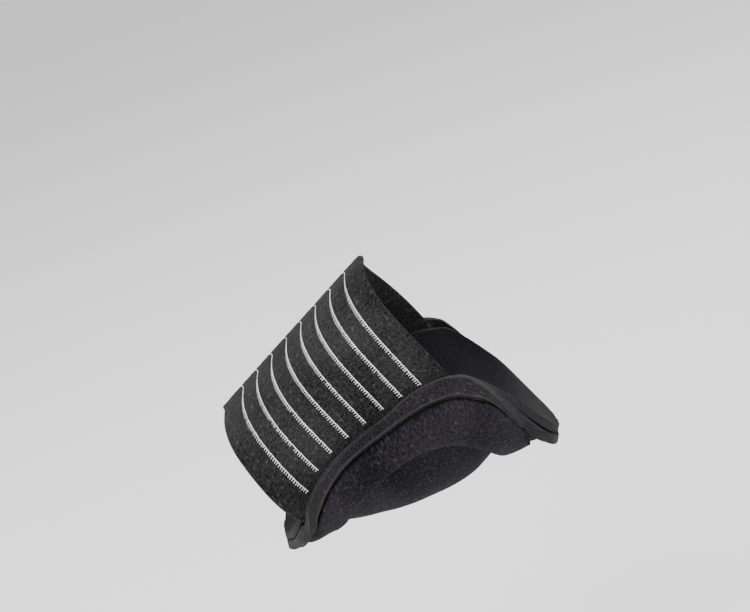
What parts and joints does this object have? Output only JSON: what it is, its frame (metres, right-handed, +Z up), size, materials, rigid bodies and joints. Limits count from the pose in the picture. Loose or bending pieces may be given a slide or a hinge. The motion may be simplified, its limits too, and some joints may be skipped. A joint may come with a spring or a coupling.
{
  "type": "cushioned arch support with elastic band",
  "caption": "Soft foot arch support: a layered saddle pad with a ring cushion and a domed centre cushion beneath, held round the midfoot by a wide striped elastic band.",
  "frame": {"origin": "where the sole of the foot sits, at the middle of the liner's foot-side face (mount foot_seat)", "axes": "+X towards the heel, -Y towards the inner side of the foot, +Z up through the instep"},
  "size_m": [0.1142, 0.101, 0.0953],
  "materials": {
    "liner_fabric": "soft brushed black knit",
    "flange_fabric": "smooth black knit over foam, cut edges",
    "cushion_fabric": "fine black stretch mesh over foam",
    "band_elastic": "charcoal woven elastic with white pinstripes"
  },
  "bodies": {
    "root": {"foot_liner": "liner_fabric", "base_layer": "flange_fabric", "ring_cushion": "cushion_fabric", "centre_cushion": "cushion_fabric", "elastic_band": "band_elastic"}
  },
  "joints": []
}
